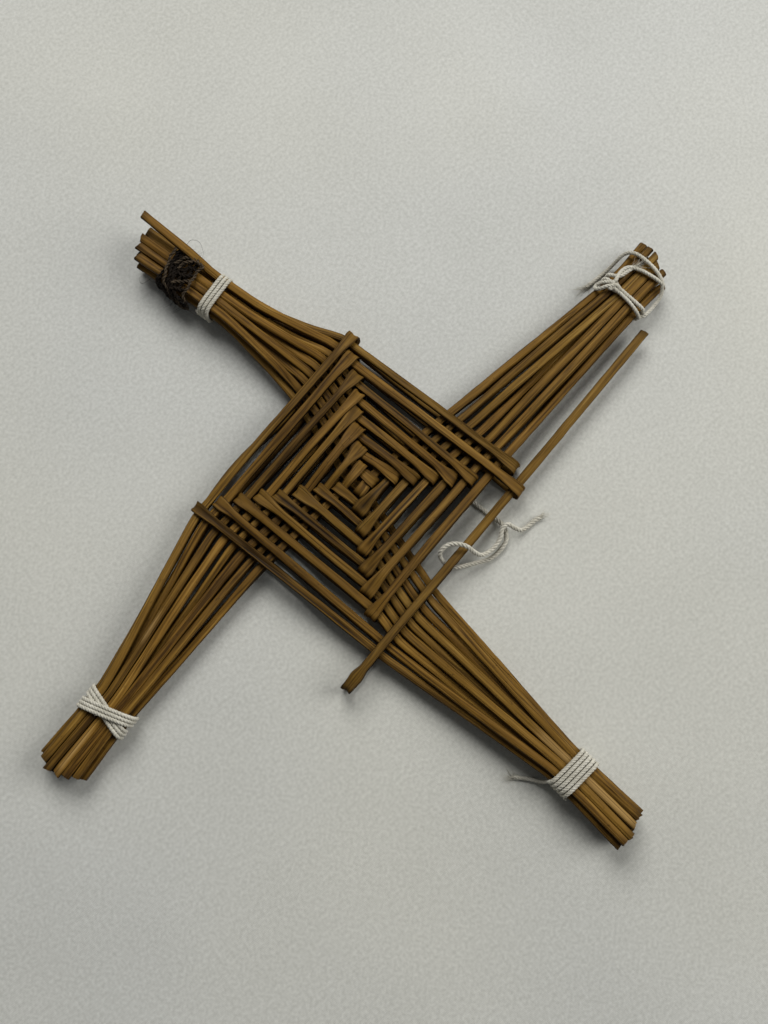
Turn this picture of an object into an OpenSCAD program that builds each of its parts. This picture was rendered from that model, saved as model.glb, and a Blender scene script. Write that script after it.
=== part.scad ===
// Brigid's cross woven from folded rushes, lying on its back with its face up.
// Millimetres, +Z up. The middle of the weave stands over the origin and its back lies on z = 0.
// Each arm has its own frame: x runs out along the arm, y to its left, z up from the middle plane.

/* [Rushes] */
// Width of a rush pressed flat in the weave
rush_w = 3; // [2.6:0.1:3.2]
// Thickness of a rush pressed flat in the weave
rush_t = 2; // [1.8:0.1:2.2]
// Thickness of the crushed bend where a rush turns back
fold_t = 0.9; // [0.7:0.1:1]
// How much wider than the rush the crushed bend is
fold_spread = 0.8; // [0.2:0.1:0.9]
// Air between rushes that lie against each other
weave_gap = 0.12; // [0.1:0.01:0.16]

/* [Weave] */
// Turn of the woven square against the arms, in degrees
weave_turn = 12; // [0:1:20]
// Spare room between the rushes of the right arm
right_slack = 0.5; // [0.1:0.1:0.7]
// Spare room between the rushes of the top arm
top_slack = 0.05; // [0.05:0.05:0.3]
// Spare room between the rushes of the left arm
left_slack = 0.05; // [0.05:0.05:0.3]
// Spare room between the rushes of the bottom arm
bottom_slack = 0.3; // [0.1:0.1:0.5]
// How far the last bend of the top arm stands off the rush it holds
last_fold_slack = 2.8; // [0:0.2:3.2]

/* [Arms] */
// Distance of the right tie from the middle
right_tie_reach = 105; // [97:1:114]
// Distance of the top tie from the middle
top_tie_reach = 73; // [70:1:84]
// Distance of the left tie from the middle
left_tie_reach = 101; // [92:1:110]
// Distance of the bottom tie from the middle
bottom_tie_reach = 106; // [97:1:115]
// Height of a tied bundle above the middle plane of the weave
tie_lift = 0.7; // [0.5:0.1:1.5]

/* [Loose rush] */
// Width of the rush that was never pulled tight
loose_w = 2.7; // [2.4:0.1:2.8]
// Thickness of the rush that was never pulled tight
loose_t = 1.7; // [1.4:0.1:1.7]
// Distance of its bend from the middle
loose_fold_reach = 48; // [46:1:56]
// Distance of its cut ends from the middle
loose_end_reach = 97; // [80:1:97]

/* [String] */
// Diameter of the cotton twine
twine_d = 0.9; // [0.7:0.05:0.9]
// Step of the twine from one turn to the next
twine_step = 1.4; // [1.4:0.05:1.6]
// Diameter of the dark wool
yarn_d = 1; // [0.8:0.05:1.05]
// Step of the wool from one turn to the next
yarn_step = 1.6; // [1.5:0.05:1.8]
// Diameter of the hanging string
string_d = 1.2; // [0.9:0.1:1.3]

/* [Hidden] */

rush_color = [0.46, 0.33, 0.17];
loose_color = [0.5, 0.36, 0.19];
twine_color = [0.86, 0.83, 0.75];
yarn_color = [0.13, 0.09, 0.07];

// The four arms in the order in which they are woven
right = 0;
top = 1;
left = 2;
bottom = 3;
arm_count = 4;
arm_turn = 360 / arm_count;
front = 1;
back = -1;

// Heights of the layers, from the middle plane
z_low = (rush_t + weave_gap) / 2;
z_high = z_low + rush_t + weave_gap;
mid_z = z_high + rush_t / 2;
fold_w = rush_w + fold_spread;
fold_gap = 1.8 * weave_gap;
fold_run = rush_w / 2 + fold_gap + fold_t / 2;
fold_rise = z_low + rush_t / 2 + 2 * weave_gap + fold_t / 2;
fold_lead = 0.8 * rush_w;
cross_step = 0.4 * rush_w;
duck_step = 0.44 * fold_w;
hold_clear = 0.2;
hold_run = fold_w / 2 + hold_clear;
exit_lead = 2.5;

// Lanes: the distance of each rush of an arm from the arm's centre line
lane_base = rush_w + fold_t + fold_gap;
lane_pitch = lane_base * [1, 1, 1, 1] + [right_slack, top_slack, left_slack, bottom_slack];
lane_start = [0.5, 0, 0.5, 0];
last_rush = [7, 8, 8, 8];
function lane(a, k) = lane_pitch[a] * (k - lane_start[a]);
// The last bends of the top and bottom arms lie farther out than the rushes they belong to
holding_rush = 7;
holding_bend_out = 1.8;
top_bend_out = 3;
bottom_bend_out = 1.9;
function bend_out(a, k) =
    a == top && k == holding_rush ? holding_bend_out :
    a == top && k == last_rush[top] ? top_bend_out :
    a == bottom && k == last_rush[bottom] ? bottom_bend_out :
    0;
function bend_lane(a, k) = lane(a, k) + bend_out(a, k);
// Where the arm leaves the weave its rushes are drawn together against the last one,
// those of the top arm so close that they are squeezed
exit_squeeze = [0, 0.4, 0, 0];
exit_room = [0.6, 0.45, 0.7, 0.2];
core_exit_room = 0.35;
function exit_w(a) = rush_w - exit_squeeze[a];
function exit_lane(a, k) = lane(a, last_rush[a]) - (exit_w(a) + exit_room[a]) * (last_rush[a] - k);
function core_exit_lane(a) = exit_lane(a, 1) - exit_w(a) - core_exit_room;
// The lane in which the bend of the next arm holds a rush; the last of the bottom arm have no such bend
function held_lane(a, k) = a == bottom && k >= last_rush[right] ? exit_lane(a, k) : lane(a, k);
function before(a) = (a + arm_count - 1) % arm_count;
function after(a) = (a + 1) % arm_count;

// The loose rush runs beside the right arm, past its last rush, through one bend of the top arm
loose_offset = 8.5;
loose_lane = lane(right, last_rush[right]) + loose_offset;
travel_gap = 0.3;

// The bundle at a tie: layers of rushes, each rush at a place counted in slots
layer_count = [3, 4, 3, 4];
slot = 0.83 * rush_w;
slot_gap = 0.1;
tied_w = slot - slot_gap;
layer_z = rush_t + 1.5 * weave_gap;
tie_half = 5;
tip_fan = 1.12;
core_slot = -2.25;
eight_front = [[-2.5, 0], [-2, 1], [-1, 1], [-0.5, 0], [0, 1], [1, 1], [1.5, 0], [2, 1]];
eight_back = [[-2, -1], [-1.5, 0], [-1, -1], [0, -1], [0.5, 0], [1, -1], [2, -1], [2.5, 0]];
seven_front = [[-2.5, 0], [-1.5, 1], [-0.5, 1], [-0.5, 0], [0.5, 1], [1.5, 1], [2.5, 0]];
seven_back = [[-1.5, -1], [-1.5, 0], [-0.5, -1], [0.5, -1], [0.5, 0], [1.5, 0], [1.5, -1]];
// In four layers the rushes keep their order, and turn by turn lie outside or near the middle
function deep_place(k, s) = [(k - last_rush[top] / 2 - 0.5) / 2, s * (k % 2 == 1 ? 1.5 : 0.5)];
function place(a, k, s) =
    a == right ? (s == front ? seven_front[k - 1] : seven_back[k - 1]) :
    a == left ? (s == front ? eight_front[k - 1] : eight_back[k - 1]) :
    deep_place(k, s);
// A deeper bundle stands higher, so that all of them clear the table alike
function lift(a) = tie_lift + (layer_count[a] - layer_count[left]) / 2 * layer_z;

// Where each tie sits and how its arm leans there
tie_reach = [right_tie_reach, top_tie_reach, left_tie_reach, bottom_tie_reach];
tie_side = [-26, -18, -12, -26];
tie_lean = [-4, 4, 2, -5];
tie_middle = [0, -0.25, 0, -0.25];
tie_wide = [2.5, 2, 2.5, 2];

// How far the cut ends reach past the tie, front ends and then back ends of each arm
tips = [
    [[14.5, 14, 14, 13, 12, 11, 9], [13, 14, 13.5, 12, 11, 10, 9.5]],
    [[28, 29, 30, 29, 31, 30, 34, 31], [28, 29, 29, 30, 30, 31, 31, 32]],
    [[20, 20.5, 22, 22.5, 23.5, 24, 23, 22], [19.5, 21, 21, 23, 22, 24, 23, 21]],
    [[22, 22.5, 23, 23.5, 24, 25, 24, 24], [22, 22, 23, 24, 23, 24.5, 24, 23]]
];
core_top_tip = 27;
core_bottom_tip = 22;

function mix(p, q, t) = p + (q - p) * t;
function smooth(t) = t * t * (3 - 2 * t);
function unit(v) = v / norm(v);
function root4(v) = sign(v) * sqrt(abs(v));

// A cross-section of a rush: an octagon with flats above, below and at the sides
flat = tan(22.5);
octagon = [
    [1, flat], [flat, 1], [-flat, 1], [-1, flat],
    [-1, -flat], [-flat, -1], [flat, -1], [1, -flat]
];

// A ring of a rush is [x, y, z, yaw, tilt, half width, half thickness]
function ring(q) = [
    for (c = octagon)
        [
            q[0] - sin(q[3]) * q[5] * c[0] - sin(q[4]) * q[6] * c[1],
            q[1] + cos(q[3]) * q[5] * c[0],
            q[2] + cos(q[4]) * q[6] * c[1]
        ]
];
function tube_faces(count, sides) = concat(
    [[for (j = [0:sides - 1]) j]],
    [
        for (i = [0:count - 2], j = [0:sides - 1], upper = [0, 1])
            let (
                p = i * sides + j,
                q = i * sides + (j + 1) % sides
            )
            upper == 0 ? [p, p + sides, q + sides] : [p, q + sides, q]
    ],
    [[for (j = [sides - 1:-1:0]) (count - 1) * sides + j]]
);

module rush_body(rings) {
    polyhedron(
        points = [for (q = rings) each ring(q)],
        faces = tube_faces(len(rings), len(octagon)),
        convexity = 10
    );
}

module on_arm(a) {
    translate([0, 0, mid_z])
        rotate([0, 0, weave_turn + a * arm_turn])
            children();
}

// Reach of a point of a tied bundle: along is measured out from the tie, side across it
function tied(a, along, side) = [
    tie_reach[a] + along * cos(tie_lean[a]) - side * sin(tie_lean[a]),
    tie_side[a] + along * sin(tie_lean[a]) + side * cos(tie_lean[a])
];

// What a rush wraps and what wraps it, as distances along its own arm
left_fold_slack = 0.8;
function farthest_wrapped(a, k) =
    a == right ? lane(bottom, k - 1) :
    a == top && k == holding_rush ? loose_lane :
    a == top && k > holding_rush ? lane(right, last_rush[right]) + last_fold_slack :
    a == left && k == last_rush[left] ? lane(top, k) + left_fold_slack :
    lane(before(a), k);
function nearest_wrapped(a) = lane_start[before(a)] == 0 ? 0 : lane(before(a), 1);
function first_crossing(a, k) =
    a == bottom && k >= last_rush[right] ? loose_lane :
    a == bottom ? bend_lane(right, k + 1) :
    bend_lane(after(a), k);
function exit_reach(a) =
    (a == bottom ? loose_lane : bend_lane(after(a), last_rush[after(a)])) + exit_lead;

// From the weave to the tie a rush changes layer first, and draws in sideways all the way
spread_steps = [0.3, 1];
spread_ease = 0.1;
function drawn_in(t) = mix(t, smooth(t), spread_ease);
function to_bundle(a, y, here, s) = [
    for (t = spread_steps)
        let (goal = tied(a, -tie_half, -here[0] * slot))
        [
            mix(exit_reach(a), goal[0], t),
            mix(y, goal[1], drawn_in(t)),
            lift(a) * smooth(t) + here[1] * layer_z,
            tie_lean[a] * smooth(t),
            s == front ? 0 : 180,
            mix(exit_w(a), tied_w, t) / 2,
            rush_t / 2
        ]
];
function bundle_ring(a, along, here, fan, rise, s, w) =
    let (p = tied(a, along, -here[0] * slot * fan))
    [p[0], p[1], lift(a) + here[1] * layer_z + rise, tie_lean[a], s == front ? 0 : 180, w / 2, rush_t / 2];

// The longest front end of the top arm rides up over the dark wool
long_arm = top;
long_rush = 7;
long_rise = 2.8;
long_fan = 1.9;
long_from = 10;
long_to = 19;
function is_long(a, k, s) = a == long_arm && k == long_rush && s == front;
function past_tie(a, k, s) =
    let (
        here = place(a, k, s),
        tip = tips[a][s == front ? 0 : 1][k - 1]
    )
    concat(
        [bundle_ring(a, tie_half, here, 1, 0, s, tied_w)],
        is_long(a, k, s)
            ? [
                bundle_ring(a, long_from, here, long_fan, long_rise, s, tied_w),
                bundle_ring(a, long_to, here, long_fan, long_rise, s, tied_w)
            ]
            : [],
        is_long(a, k, s)
            ? [bundle_ring(a, tip, here, long_fan, long_rise, s, tied_w)]
            : [bundle_ring(a, tip, here, tip_fan, 0, s, tied_w)]
    );

// One half of a folded rush, from the fold outwards
function woven_half(a, k, s) =
    let (
        tilt = s == front ? 0 : 180,
        far = -farthest_wrapped(a, k),
        near = -nearest_wrapped(a),
        deep = near - far > rush_w,
        start = far + (deep ? fold_lead : cross_step),
        top_end = near + cross_step,
        ducked = first_crossing(a, k) - duck_step,
        half = [rush_w / 2, rush_t / 2],
        y_start = -mix(bend_lane(a, k), held_lane(a, k), (start - far) / (ducked - far)),
        y_top_end = -mix(bend_lane(a, k), held_lane(a, k), (top_end - far) / (ducked - far)),
        y = -held_lane(a, k),
        y_exit = -exit_lane(a, k)
    )
    concat(
        [[start, y_start, s * z_high, 0, tilt, half[0], half[1]]],
        deep ? [[top_end, y_top_end, s * z_high, 0, tilt, half[0], half[1]]] : [],
        [
            [ducked, y, s * z_low, 0, tilt, half[0], half[1]],
            [first_crossing(a, k) + hold_run, y, s * z_low, 0, tilt, half[0], half[1]],
            [exit_reach(a), y_exit, s * z_low, 0, tilt, exit_w(a) / 2, half[1]]
        ],
        to_bundle(a, y_exit, place(a, k, s), s),
        past_tie(a, k, s)
    );

// The crushed bend: five rings round the rush it holds
fold_angles = [90, 45, 0, -45, -90];
function fold_rings(x, y, run, rise, w, t) = [
    for (f = fold_angles)
        [
            x - run * root4(cos(f)),
            y,
            rise * root4(sin(f)),
            0,
            abs(f) == 90 ? 90 - f : 90 - atan2(pow(root4(sin(f)), 3) / rise, pow(root4(cos(f)), 3) / run),
            w / 2,
            t / 2
        ]
];
function reverse(list) = [for (i = [len(list) - 1:-1:0]) list[i]];
// The bend that holds the loose rush leaves it room to slide
function fold_run_of(a, k) = fold_run + (a == top && k == holding_rush ? travel_gap : 0);
function rush_rings(a, k) = concat(
    reverse(woven_half(a, k, back)),
    reverse(fold_rings(
        -farthest_wrapped(a, k), -bend_lane(a, k), fold_run_of(a, k), fold_rise, fold_w, fold_t
    )),
    woven_half(a, k, front)
);
module rush(a, k) {
    color(rush_color)
        on_arm(a)
            rush_body(rush_rings(a, k));
}

// The one straight rush, through the top and bottom arms
core_half = [rush_w / 2, rush_t / 2];
core_level = 0;
function core_held(a) = lane(after(a), 1) + hold_run;
function core_end(a, tip) = concat(
    [
        [core_held(a), 0, core_level, 0, 0, core_half[0], core_half[1]],
        [exit_reach(a), -core_exit_lane(a), core_level, 0, 0, exit_w(a) / 2, core_half[1]]
    ],
    to_bundle(a, -core_exit_lane(a), [core_slot, 0], front),
    [
        bundle_ring(a, tie_half, [core_slot, 0], 1, 0, front, tied_w),
        bundle_ring(a, tip, [core_slot, 0], tip_fan, 0, front, tied_w)
    ]
);
// A ring of the bottom arm seen from the top arm
function turned(q) = [-q[0], -q[1], q[2], q[3], q[4], q[5], q[6]];
module core_rush() {
    color(rush_color)
        on_arm(top)
            rush_body(concat(
                [for (q = reverse(core_end(bottom, core_bottom_tip))) turned(q)],
                core_end(top, core_top_tip)
            ));
}

// The loose rush: a long hairpin round the bottom arm, held only by one bend of the top arm
loose_low = loose_t / 2 + weave_gap / 2;
loose_high = z_low + rush_t / 2 + travel_gap + loose_t / 2;
loose_high_end = rush_w / 2 + 2 * travel_gap;
loose_close_run = 5;
loose_low_start = loose_high_end + loose_close_run;
loose_fold_run = loose_w / 2 + travel_gap + fold_t / 2;
loose_fold_rise = z_low + rush_t / 2 + travel_gap + fold_t / 2;
loose_end_step = 6;
loose_end_skew = 3;
function loose_half(s) =
    let (
        tilt = s == front ? 0 : 180,
        w = loose_w / 2,
        t = loose_t / 2,
        end = loose_end_reach - (s == front ? 0 : loose_end_skew)
    )
    [
        [-loose_fold_reach + fold_lead, -loose_lane, s * loose_high, 0, tilt, w, t],
        [loose_high_end, -loose_lane, s * loose_high, 0, tilt, w, t],
        [loose_low_start, -loose_lane, s * loose_low, 0, tilt, w, t],
        [end - loose_end_step, -loose_lane, s * loose_low, 0, tilt, w, t],
        [end, -loose_lane, s * loose_low, 0, tilt, w, t]
    ];
module loose_rush() {
    color(loose_color)
        on_arm(right)
            rush_body(concat(
                reverse(loose_half(back)),
                reverse(fold_rings(
                    -loose_fold_reach, -loose_lane, loose_fold_run, loose_fold_rise, fold_w, fold_t
                )),
                loose_half(front)
            ));
}

// Round tubes for string: a section is carried along the route without twist
loop_rings = 24;
wound_sides = 6;
string_sides = 8;
function tangents(p) = [
    for (i = [0:len(p) - 1])
        unit(p[min(i + 1, len(p) - 1)] - p[max(i - 1, 0)])
];
function square_to(u, t) = unit(u - t * (u * t));
function carried(t, u, i) =
    i >= len(t) ? [] : let (v = square_to(u, t[i])) concat([v], carried(t, v, i + 1));
module tube(p, d, sides) {
    t = tangents(p);
    start = abs(t[0][2]) < 0.9 ? [0, 0, 1] : [1, 0, 0];
    u = carried(t, start, 0);
    polyhedron(
        points = [
            for (i = [0:len(p) - 1], j = [0:sides - 1])
                let (f = 360 * j / sides)
                p[i] + d / 2 * (cos(f) * u[i] + sin(f) * cross(t[i], u[i]))
        ],
        faces = tube_faces(len(p), sides),
        convexity = 10
    );
}
// The ends of a tube run on straight for one diameter
function run_on(p, d) = concat(
    [p[0] + d * unit(p[0] - p[1])],
    p,
    [p[len(p) - 1] + d * unit(p[len(p) - 1] - p[len(p) - 2])]
);
function least_gap(p, d) = min([
    for (i = [0:len(p) - 1], j = [i + loop_rings / 3:1:len(p) - 1])
        norm(p[i] - p[j])
]) - d;

// Turns round a bundle follow a rounded box, the corner power sets how square it is
corner_power = 0.4;
wool_corner_power = 0.75;
wind_gap = 0.22;
function powered(v, n) = sign(v) * pow(abs(v), n);
function bundle_half_w(a) = tie_wide[a] * slot + tied_w / 2;
function bundle_half_h(a) = (layer_count[a] - 1) / 2 * layer_z + rush_t / 2;
function turn_point(f, x, box, n) = [x, box[0] * powered(cos(f), n), box[1] * powered(sin(f), n)];
function plain_winding(turns, step, box, start, way) = [
    for (i = [0:turns * loop_rings])
        let (turn = i / loop_rings)
        turn_point(start + way * 360 * turn, (turn - turns / 2) * step, box, corner_power)
];
function moved_along(p, x) = [for (q = p) [q[0] + x, q[1], q[2]]];
// A winding set in place on its arm from its tie's own frame
function set_on_tie(a, p) = [
    for (q = p)
        let (g = tied(a, q[0], q[1] - tie_middle[a] * slot))
        [g[0], g[1], q[2] + lift(a)]
];
function round_bundle(a, d) = [bundle_half_w(a) + wind_gap + d / 2, bundle_half_h(a) + wind_gap + d / 2];
// Free string keeps its distance from the side of the bundle when the rushes grow;
// its heights are shares of the drop to the table
drawn_half_w = [7.42, 6.18, 7.42, 6.18];
function beside(a, y) = y + sign(y) * (bundle_half_w(a) - drawn_half_w[a]);
table_gap = 0.05;
function twine_drop(a) = twine_d / 2 + table_gap - mid_z - lift(a);
function lying(a, p) = [for (q = p) [q[0], beside(a, q[1]), q[2] * twine_drop(a)]];

// The top tie: a plain band
top_turns = 3.5;
top_wind = run_on(
    set_on_tie(top, plain_winding(top_turns, twine_step, round_bundle(top, twine_d), 180, 1)),
    twine_d
);

// The bottom tie: five turns side by side, led in by a frayed tail that lies on the table
bottom_turns = 5;
bottom_tail = [[-11, -13, 1], [-8.5, -11, 1], [-6, -9.3, 0.95], [-4.2, -7.9, 0.6]];
bottom_wind = run_on(
    set_on_tie(bottom, concat(
        lying(bottom, bottom_tail),
        plain_winding(bottom_turns, twine_step, round_bundle(bottom, twine_d), 180, -1)
    )),
    twine_d
);

// The left tie: over the front the turns lean one way and then the other, behind they run straight
left_pairs = 2;
cross_lean = 2.6;
cross_clear = 0.65;
cross_lift = twine_d + cross_clear;
left_box = round_bundle(left, twine_d);
function bow_point(i) =
    let (
        f = 360 * i / loop_rings,
        turn = floor(i / loop_rings),
        pair = floor(turn / 2),
        way = turn % 2 == 0 ? 1 : -1,
        side = powered(cos(f), corner_power),
        behind = sin(f) < -0.001,
        lift = way < 0 && !behind ? cross_lift * (1 - side * side) : 0,
        shift = (pair - (left_pairs - 1) / 2) * twine_step,
        creep = behind && way < 0 ? twine_step * (1 + side) / 2 : 0
    )
    [
        shift + creep + (behind ? -way : way * side) * cross_lean,
        side * left_box[0],
        left_box[1] * powered(sin(f), corner_power) + lift
    ];
left_wind = run_on(
    set_on_tie(left, [for (i = [0:(2 * left_pairs - 0.5) * loop_rings]) bow_point(i)]),
    twine_d
);

// The right tie: a tail on the table, a slack loop over the cut ends, loose turns and a free end
right_turns = 1.625;
right_step = 2;
right_shift = -3.5;
over_bundle = bundle_half_h(right) + twine_d;
right_tail = [[-7.5, 11, 1], [-3.5, 10.6, 1], [0, 10.2, 1], [3.2, 9.7, 0.6]];
right_slack_loop = [
    [5.6, 9.4, 0.05], [7.6, 8.6, 0.5], [8.6, 6.4, 0.9], [8.9, 3, 1.06],
    [8.7, -2, 1.06], [7.4, -6, 0.98], [4.6, -8.8, 0.4], [0, -9.4, 0.1], [-3.6, -9.3, 0.05]
];
right_free_end = [[-0.8, 4.6, 1.12], [2.4, 4, 1.05], [5.2, 3.2, 1.02]];
function riding(p) = [for (q = p) [q[0], beside(right, q[1]), q[2] * over_bundle]];
right_wind = run_on(
    set_on_tie(right, concat(
        lying(right, right_tail),
        riding(right_slack_loop),
        moved_along(
            plain_winding(right_turns, right_step, round_bundle(right, twine_d), 180, 1),
            right_shift
        ),
        riding(right_free_end)
    )),
    twine_d
);

// The dark wool: turns round the top bundle beneath its longest end
wool_turns = 5;
wool_along = 14.5;
wool_spread = 1.08;
wool_start = 60;
wool_box = [
    bundle_half_w(top) * wool_spread + wind_gap + yarn_d / 2,
    bundle_half_h(top) + wind_gap + yarn_d / 2
];
wool_wind = run_on(
    set_on_tie(top, [
        for (i = [0:wool_turns * loop_rings])
            let (f = wool_start + 360 * i / loop_rings)
            turn_point(
                f,
                wool_along + (i / loop_rings - wool_turns / 2) * yarn_step,
                wool_box,
                sin(f) > 0 && cos(f) < 0 ? wool_corner_power : corner_power
            )
    ]),
    yarn_d
);

module wound(a, p, d, c) {
    color(c)
        on_arm(a)
            tube(p, d, wound_sides);
}
module top_tie() { wound(top, top_wind, twine_d, twine_color); }
module left_tie() { wound(left, left_wind, twine_d, twine_color); }
module bottom_tie() { wound(bottom, bottom_wind, twine_d, twine_color); }
module right_tie() { wound(right, right_wind, twine_d, twine_color); }
module dark_yarn() { wound(top, wool_wind, yarn_d, yarn_color); }

// The hanging string: from under the weave, out below the loose rush, a loop round it and a tail.
// A point gives its reach along the right arm, its way in from the loose rush and its height,
// which is a share of the height of the middle plane
string_points = [
    [20, 9.9, 0.17], [20, 7.5, 0.17], [20, 4, 0.17], [20, 0, 0.19], [20.2, -2.5, 0.28],
    [20, -5, 0.45], [18.5, -7, 0.45], [16.5, -8.5, 0.35], [13, -8.8, 0.28], [9.5, -8.1, 0.28],
    [6, -6.1, 0.45], [2.8, -3.9, 0.85], [0.2, -2.1, 1.2], [-1.2, 0.1, 1.28], [-1.4, 2.5, 1.5],
    [-0.6, 4.3, 1.9], [1.2, 4.7, 2.2], [3.4, 3.9, 2.36], [5.2, 1.9, 2.42], [6.3, -0.5, 2.36],
    [6.8, -3.1, 1.8], [7.8, -5.3, 1.15], [10.2, -6.5, 0.86], [13, -6.9, 0.78], [16, -6.5, 0.86],
    [18.6, -5.1, 1.05], [20.6, -5.5, 1.1], [21.4, -7.9, 0.75], [22.6, -9.9, 0.35], [25, -10.7, 0.18],
    [27.5, -11.1, 0.17], [30, -12, 0.17]
];
string_route = [for (q = string_points) [q[0], q[1] - loose_lane, (q[2] - 1) * mid_z]];
string_between = 2;
function spline(p, n) = concat(
    [
        for (i = [0:len(p) - 2], j = [0:n - 1])
            let (
                t = j / n,
                b = p[i],
                c = p[i + 1],
                s = (c - p[max(i - 1, 0)]) / 2,
                e = (p[min(i + 2, len(p) - 1)] - b) / 2
            )
            b * (1 + 2 * t) * (1 - t) * (1 - t) + s * t * (1 - t) * (1 - t)
            + c * t * t * (3 - 2 * t) + e * t * t * (t - 1)
    ],
    [p[len(p) - 1]]
);
string_line = spline(string_route, string_between);
module hanging_string() {
    color(twine_color)
        on_arm(right)
            tube(string_line, string_d, string_sides);
}

echo(least_gap_top_tie = least_gap(top_wind, twine_d));
echo(least_gap_left_tie = least_gap(left_wind, twine_d));
echo(least_gap_bottom_tie = least_gap(bottom_wind, twine_d));
echo(least_gap_right_tie = least_gap(right_wind, twine_d));
echo(least_gap_dark_yarn = least_gap(wool_wind, yarn_d));
echo(least_gap_hanging_string = least_gap(string_line, string_d));

module right_rush_1() { rush(right, 1); }
module right_rush_2() { rush(right, 2); }
module right_rush_3() { rush(right, 3); }
module right_rush_4() { rush(right, 4); }
module right_rush_5() { rush(right, 5); }
module right_rush_6() { rush(right, 6); }
module right_rush_7() { rush(right, 7); }
module top_rush_1() { rush(top, 1); }
module top_rush_2() { rush(top, 2); }
module top_rush_3() { rush(top, 3); }
module top_rush_4() { rush(top, 4); }
module top_rush_5() { rush(top, 5); }
module top_rush_6() { rush(top, 6); }
module top_rush_7() { rush(top, 7); }
module top_rush_8() { rush(top, 8); }
module left_rush_1() { rush(left, 1); }
module left_rush_2() { rush(left, 2); }
module left_rush_3() { rush(left, 3); }
module left_rush_4() { rush(left, 4); }
module left_rush_5() { rush(left, 5); }
module left_rush_6() { rush(left, 6); }
module left_rush_7() { rush(left, 7); }
module left_rush_8() { rush(left, 8); }
module bottom_rush_1() { rush(bottom, 1); }
module bottom_rush_2() { rush(bottom, 2); }
module bottom_rush_3() { rush(bottom, 3); }
module bottom_rush_4() { rush(bottom, 4); }
module bottom_rush_5() { rush(bottom, 5); }
module bottom_rush_6() { rush(bottom, 6); }
module bottom_rush_7() { rush(bottom, 7); }
module bottom_rush_8() { rush(bottom, 8); }

core_rush();
loose_rush();
right_rush_1();
right_rush_2();
right_rush_3();
right_rush_4();
right_rush_5();
right_rush_6();
right_rush_7();
top_rush_1();
top_rush_2();
top_rush_3();
top_rush_4();
top_rush_5();
top_rush_6();
top_rush_7();
top_rush_8();
left_rush_1();
left_rush_2();
left_rush_3();
left_rush_4();
left_rush_5();
left_rush_6();
left_rush_7();
left_rush_8();
bottom_rush_1();
bottom_rush_2();
bottom_rush_3();
bottom_rush_4();
bottom_rush_5();
bottom_rush_6();
bottom_rush_7();
bottom_rush_8();
right_tie();
top_tie();
left_tie();
bottom_tie();
dark_yarn();
hanging_string();
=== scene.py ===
import random
from math import atan2, copysign, cos, exp, hypot, pi, radians, remainder, sin, sqrt, tau

import bpy
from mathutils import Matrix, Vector, noise


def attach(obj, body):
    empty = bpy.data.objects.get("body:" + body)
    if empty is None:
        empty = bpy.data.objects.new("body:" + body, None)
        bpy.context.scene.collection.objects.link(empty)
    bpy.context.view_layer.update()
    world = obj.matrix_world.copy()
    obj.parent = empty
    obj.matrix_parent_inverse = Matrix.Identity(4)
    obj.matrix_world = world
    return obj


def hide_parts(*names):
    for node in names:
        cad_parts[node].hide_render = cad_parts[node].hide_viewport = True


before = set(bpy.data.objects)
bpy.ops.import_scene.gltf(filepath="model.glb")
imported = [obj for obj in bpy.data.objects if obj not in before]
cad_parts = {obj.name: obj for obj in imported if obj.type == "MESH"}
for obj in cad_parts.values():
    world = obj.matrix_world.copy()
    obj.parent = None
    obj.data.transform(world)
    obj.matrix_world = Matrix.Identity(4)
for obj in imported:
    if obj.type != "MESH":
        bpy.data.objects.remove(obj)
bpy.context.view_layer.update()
scene = bpy.context.scene
mm = 0.001
print("frame loaded:", len(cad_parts), "nodes")


# selecting, copying and applying
def clearPick():
    if bpy.context.object and bpy.context.object.mode != "OBJECT":
        bpy.ops.object.mode_set(mode="OBJECT")
    bpy.ops.object.select_all(action="DESELECT")


def pick(piece, *others):
    clearPick()
    for each in (piece, *others):
        each.select_set(True)
    bpy.context.view_layer.objects.active = piece


def applyModifiers(piece):
    pick(piece)
    for modifier in list(piece.modifiers):
        bpy.ops.object.modifier_apply(modifier=modifier.name)


def applyPlace(piece):
    pick(piece)
    bpy.ops.object.transform_apply(location=True, rotation=True, scale=True)


def copyOf(stock, name):
    piece = stock.copy()
    piece.data = stock.data.copy()
    piece.name = name
    scene.collection.objects.link(piece)
    return piece


def joined(piece, *others):
    pick(piece, *others)
    bpy.ops.object.join()


def drop(piece):
    bpy.data.objects.remove(piece, do_unlink=True)


def setOn(piece, body, slotName, *nodes):
    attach(piece, body)
    if nodes:
        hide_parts(*nodes)


def blendTo(p, q, t):
    return p + (q - p) * t


def eased(t):
    t = min(max(t, 0.0), 1.0)
    return t * t * (3 - 2 * t)


def powered(v, n):
    return copysign(abs(v) ** n, v)


def nearTurn(turn, middle, half):
    off = remainder(turn - middle, tau) / half
    return exp(-off * off)


# camera as in the photograph, almost straight above the table
cameraSet = dict(
    place=(-0.0365, -0.0610, 0.3553),
    aim=(0.0016, -0.0122, 0.0042),
    lens=40.43, sensor=36.0, nearest=0.01,
)
bpy.ops.object.camera_add(location=cameraSet["place"])
camera = bpy.context.object
camera.data.lens = cameraSet["lens"]
camera.data.sensor_width = cameraSet["sensor"]
camera.data.clip_start = cameraSet["nearest"]
toAim = Vector(cameraSet["aim"]) - Vector(cameraSet["place"])
camera.rotation_euler = toAim.to_track_quat("-Z", "Y").to_euler()
scene.camera = camera
scene.view_settings.view_transform = "Standard"

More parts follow.
